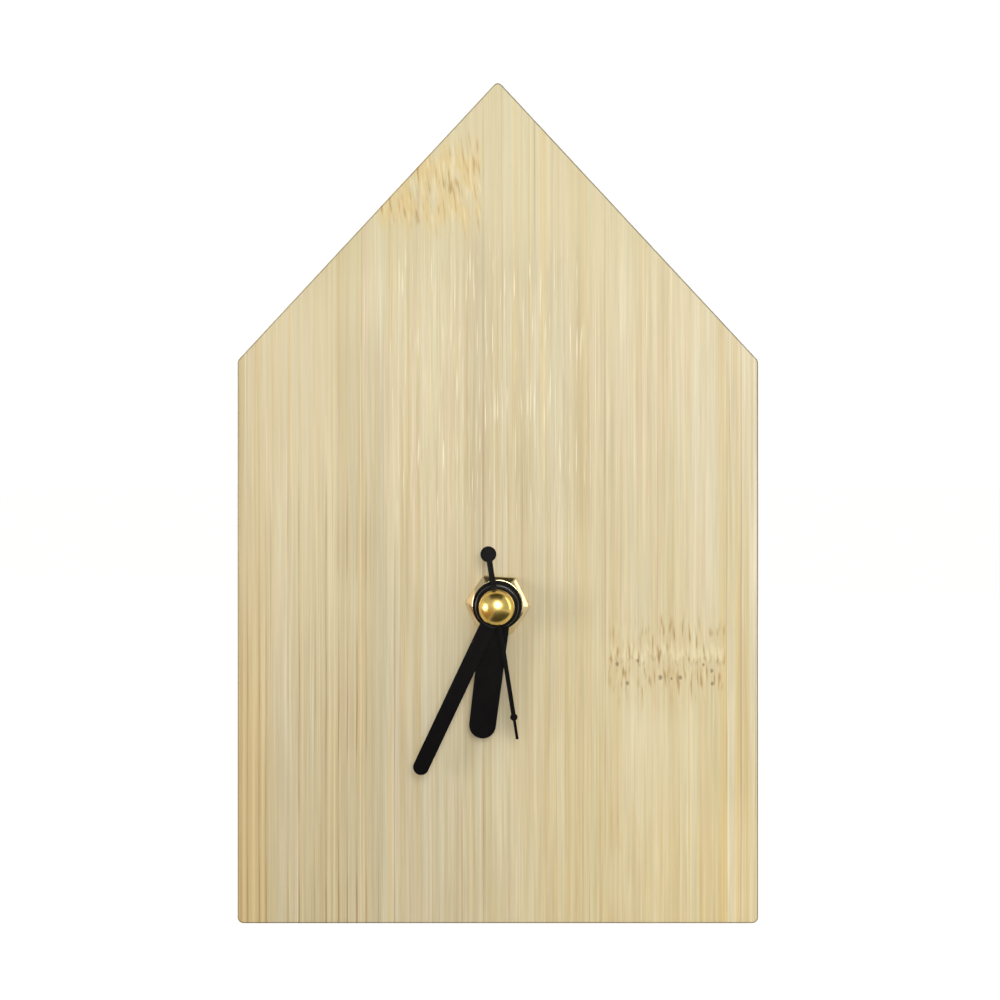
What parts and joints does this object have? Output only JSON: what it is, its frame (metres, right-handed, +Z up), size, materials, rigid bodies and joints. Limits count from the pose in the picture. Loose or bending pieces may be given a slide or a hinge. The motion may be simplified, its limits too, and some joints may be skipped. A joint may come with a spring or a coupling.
{
  "type": "desk clock",
  "caption": "House-shaped bamboo desk clock with a plain front, a glued rear foot, a battery quartz movement and hour, minute and second hands.",
  "frame": {"origin": "middle of the board's bottom edge, on the surface that the clock stands on, at half the board's thickness", "axes": "+Z up, +Y from the front of the clock to its back, so the hands face -Y, and +X to the right as seen from the front"},
  "size_m": [0.093, 0.0529, 0.15],
  "materials": {
    "bamboo": "satin lacquer over plain-pressed bamboo strips",
    "beech": "bare",
    "black_plastic": "fine spark texture",
    "brass": "bright",
    "rubber": "matte",
    "white_plastic": "satin",
    "green_plastic": "satin",
    "steel": "bright",
    "soft_iron": "annealed",
    "magnet": "bare",
    "copper": "enamelled wire",
    "circuit_board": "satin",
    "contact_steel": "nickel plated",
    "battery_jacket": "printed film jacket, no lettering",
    "black_paint": "satin black"
  },
  "bodies": {
    "clock": {"front_board": "bamboo", "rear_foot": "bamboo", "foot_dowel_left": "beech", "foot_dowel_right": "beech", "movement_case": "black_plastic", "rear_cover": "black_plastic", "threaded_bushing": "brass", "rubber_washer": "rubber", "hex_nut": "brass", "middle_plate": "white_plastic", "train_bridge": "white_plastic", "stator_plate": "soft_iron", "coil_core": "soft_iron", "coil_bobbin": "white_plastic", "coil_winding": "copper", "stator_screw_lower": "steel", "stator_screw_upper": "steel", "circuit_board": "circuit_board", "quartz_crystal": "steel", "control_chip": "black_plastic", "battery_contact_positive": "contact_steel", "battery_contact_negative": "contact_steel"},
    "minute": {"minute_hand": "black_paint", "cannon_pinion": "brass", "minute_wheel": "green_plastic"},
    "hour": {"hour_hand": "black_paint", "hour_wheel": "black_plastic"},
    "seconds": {"second_hand": "black_paint", "second_hand_cap": "brass", "seconds_shaft": "steel", "seconds_wheel": "green_plastic"},
    "third": {"third_wheel": "white_plastic"},
    "intermediate": {"intermediate_wheel": "white_plastic"},
    "rotor": {"rotor_pinion": "white_plastic", "rotor_magnet": "magnet"},
    "setting": {"setting_wheel": "white_plastic", "setting_knob": "black_plastic"},
    "cell": {"battery_cell": "battery_jacket"}
  },
  "joints": [
    {"name": "minute_turn", "type": "hinge", "parent": "clock", "child": "minute", "pos_m": [0, 0, 0.057], "axis": [0, 1, 0], "continuous": true},
    {"name": "hour_turn", "type": "hinge", "parent": "clock", "child": "hour", "pos_m": [0, 0, 0.057], "axis": [0, 1, 0], "continuous": true},
    {"name": "seconds_turn", "type": "hinge", "parent": "clock", "child": "seconds", "pos_m": [0, 0, 0.057], "axis": [0, 1, 0], "continuous": true},
    {"name": "third_turn", "type": "hinge", "parent": "clock", "child": "third", "pos_m": [0.00721, 0, 0.06421], "axis": [0, 1, 0], "continuous": true},
    {"name": "intermediate_turn", "type": "hinge", "parent": "clock", "child": "intermediate", "pos_m": [0.00624, 0, 0.0534], "axis": [0, 1, 0], "continuous": true},
    {"name": "rotor_turn", "type": "hinge", "parent": "clock", "child": "rotor", "pos_m": [0.01324, 0, 0.0534], "axis": [0, 1, 0], "continuous": true},
    {"name": "setting_turn", "type": "hinge", "parent": "clock", "child": "setting", "pos_m": [-0.00778, 0, 0.06478], "axis": [0, 1, 0], "continuous": true},
    {"name": "cell_slide", "type": "slide", "parent": "clock", "child": "cell", "axis": [0, 1, 0], "range_m": [0, 0.03]}
  ],
  "couplings": [
    {"joint": "hour_turn", "follows": "minute_turn", "ratio": 0.083333},
    {"joint": "third_turn", "follows": "minute_turn", "ratio": -8},
    {"joint": "seconds_turn", "follows": "minute_turn", "ratio": 60},
    {"joint": "intermediate_turn", "follows": "minute_turn", "ratio": -300},
    {"joint": "rotor_turn", "follows": "minute_turn", "ratio": 1800},
    {"joint": "setting_turn", "follows": "minute_turn", "ratio": -0.33333}
  ]
}
